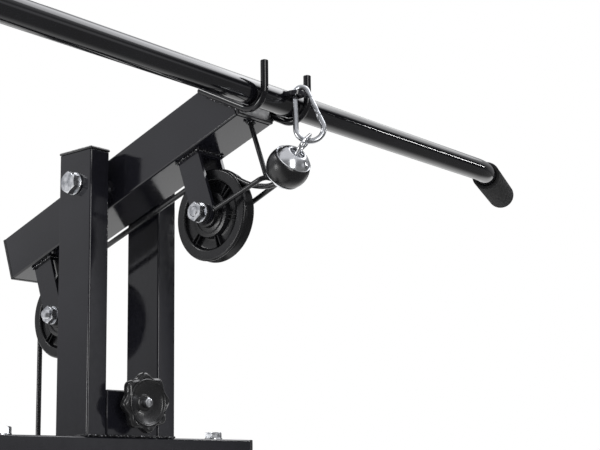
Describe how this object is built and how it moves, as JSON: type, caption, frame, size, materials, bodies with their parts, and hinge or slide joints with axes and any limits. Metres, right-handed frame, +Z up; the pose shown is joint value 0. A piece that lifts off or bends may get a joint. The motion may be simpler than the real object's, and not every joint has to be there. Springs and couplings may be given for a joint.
{
  "type": "multi gym",
  "caption": "Plate-loaded home multi gym: lat tower with cable and pulleys, hooked lat bar, sliding plate carriage, seat, backrest and leg lever.",
  "frame": {"origin": "on the floor under the mast's centre line", "axes": "+X to the right of someone who faces the gym, +Y towards its back, +Z up"},
  "size_m": [1.0546, 1.057, 2.0303],
  "materials": {
    "black_steel": "gloss black powder coat",
    "bar_steel": "gloss black powder coat",
    "zinc": "bright zinc plate",
    "chrome": "polished chrome plate",
    "pulley_nylon": "matte moulded nylon",
    "cap_plastic": "satin moulded plastic",
    "knob_plastic": "semi-gloss moulded plastic",
    "cable_sheath": "smooth black sheath",
    "black_rubber": "satin moulded rubber",
    "foam": "matte closed-cell foam",
    "vinyl": "grained black vinyl"
  },
  "bodies": {
    "gym_frame": {"floor_rail": "black_steel", "front_foot": "black_steel", "rear_foot": "black_steel", "lower_crossbeam": "black_steel", "mast": "black_steel", "crossbeam": "black_steel", "crossbeam_cap_left": "cap_plastic", "crossbeam_cap_right": "cap_plastic", "guide_rod_left": "chrome", "guide_rod_right": "chrome", "rod_bolt_left": "zinc", "rod_bolt_right": "zinc", "bumper_left": "black_rubber", "bumper_right": "black_rubber", "post_left": "black_steel", "post_right": "black_steel", "post_cap_left": "cap_plastic", "post_cap_right": "cap_plastic", "clamp_block": "black_steel", "top_beam": "black_steel", "beam_cap_front": "cap_plastic", "beam_cap_rear": "cap_plastic", "beam_bolt": "zinc", "spacer_left": "zinc", "spacer_right": "zinc", "front_bracket": "black_steel", "rear_bracket": "black_steel", "front_axle_bolt": "zinc", "rear_axle_bolt": "zinc", "front_axle_nut": "zinc", "cable_guard": "black_steel", "hook_left": "black_steel", "hook_right": "black_steel", "cable_run": "cable_sheath", "cable_drop": "cable_sheath", "cable_tail": "cable_sheath", "seat_frame": "black_steel", "seat_pad": "vinyl", "back_pad": "vinyl", "lever_pivot": "zinc"},
    "plate_carriage": {"carriage": "black_steel"},
    "front_wheel": {"front_pulley": "pulley_nylon"},
    "rear_wheel": {"rear_pulley": "pulley_nylon"},
    "knob": {"star_knob": "knob_plastic", "knob_screw": "zinc"},
    "bar": {"lat_bar": "bar_steel", "bar_eye": "black_steel", "grip_left": "foam", "grip_right": "foam", "carabiner": "zinc", "ball_link": "chrome", "ball_stop": "black_rubber", "ball_cap_upper": "chrome", "ball_cap_lower": "chrome"},
    "gate": {"carabiner_gate": "zinc"},
    "lever": {"leg_lever": "black_steel"},
    "lower_foam_left": {"lower_roller_left": "foam"},
    "lower_foam_right": {"lower_roller_right": "foam"},
    "upper_foam_left": {"upper_roller_left": "foam"},
    "upper_foam_right": {"upper_roller_right": "foam"}
  },
  "joints": [
    {"name": "carriage_slide", "type": "slide", "parent": "gym_frame", "child": "plate_carriage", "axis": [0, 0, 1], "range_m": [0, 1], "deforming": ["cable_drop"]},
    {"name": "front_pulley_spin", "type": "hinge", "parent": "gym_frame", "child": "front_wheel", "pos_m": [0, -0.14343, 1.89442], "axis": [1, 0, 0], "continuous": true},
    {"name": "rear_pulley_spin", "type": "hinge", "parent": "gym_frame", "child": "rear_wheel", "pos_m": [0, 0.08501, 1.81487], "axis": [1, 0, 0], "continuous": true},
    {"name": "knob_turn", "type": "hinge", "parent": "gym_frame", "child": "knob", "pos_m": [0, -0.0253, 1.7143], "axis": [0, -1, 0], "continuous": true},
    {"name": "lat_bar_lift", "type": "slide", "parent": "gym_frame", "child": "bar", "axis": [0, 0, 1], "range_m": [0, 0.045], "deforming": ["cable_tail"]},
    {"name": "gate_swing", "type": "hinge", "parent": "bar", "child": "gate", "pos_m": [0.02428, -0.25828, 1.9795], "axis": [-0.7544, -0.633, 0.1736], "range_deg": [0, 14], "stiffness_Nm_per_rad": 0.01, "springref_deg": -17.19},
    {"name": "leg_lever_swing", "type": "hinge", "parent": "gym_frame", "child": "lever", "pos_m": [0, -0.497, 0.372], "axis": [-1, 0, 0], "range_deg": [0, 80]},
    {"name": "lower_roller_left_spin", "type": "hinge", "parent": "lever", "child": "lower_foam_left", "pos_m": [0, -0.497, 0.117], "axis": [1, 0, 0], "continuous": true},
    {"name": "lower_roller_right_spin", "type": "hinge", "parent": "lever", "child": "lower_foam_right", "pos_m": [0, -0.497, 0.117], "axis": [1, 0, 0], "continuous": true},
    {"name": "upper_roller_left_spin", "type": "hinge", "parent": "gym_frame", "child": "upper_foam_left", "pos_m": [0, -0.43, 0.335], "axis": [1, 0, 0], "continuous": true},
    {"name": "upper_roller_right_spin", "type": "hinge", "parent": "gym_frame", "child": "upper_foam_right", "pos_m": [0, -0.43, 0.335], "axis": [1, 0, 0], "continuous": true}
  ],
  "couplings": [
    {"joint": "front_pulley_spin", "follows": "carriage_slide", "rad_per_m": 22.447},
    {"joint": "rear_pulley_spin", "follows": "carriage_slide", "rad_per_m": 22.447}
  ]
}
